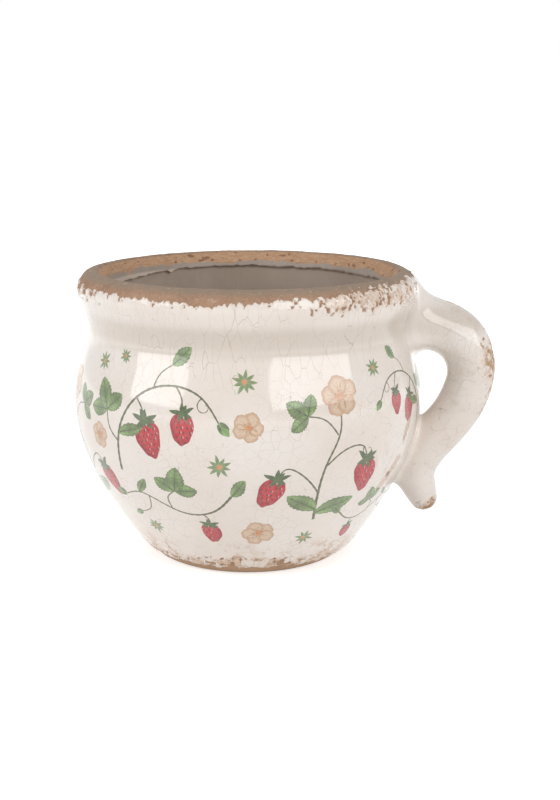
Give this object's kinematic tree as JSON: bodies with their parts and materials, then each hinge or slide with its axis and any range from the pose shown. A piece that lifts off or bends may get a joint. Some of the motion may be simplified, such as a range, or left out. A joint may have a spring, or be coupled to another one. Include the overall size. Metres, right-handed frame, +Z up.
{
  "type": "cup-shaped ceramic planter",
  "caption": "Glazed earthenware cup-shaped planter with a rolled clay rim and a side handle ending in a spur, for holding a small potted plant.",
  "frame": {"origin": "centre of the foot, on the surface that the pot stands on, on the pot's own axis", "axes": "+Z up along the pot's axis, out of the mouth; +X towards the handle; the handle lies in the XZ plane"},
  "size_m": [0.1989, 0.1636, 0.136],
  "materials": {
    "clay": "matt, bare fired earthenware",
    "glaze": "glossy cream glaze with craze lines and a printed sprig pattern",
    "lining": "matt grey-brown wash"
  },
  "bodies": {
    "root": {"pot_body": "clay", "handle": "clay", "upper_slip_joint": "clay", "lower_slip_joint": "clay", "outer_glaze": "glaze", "inner_coat": "lining"}
  },
  "joints": []
}
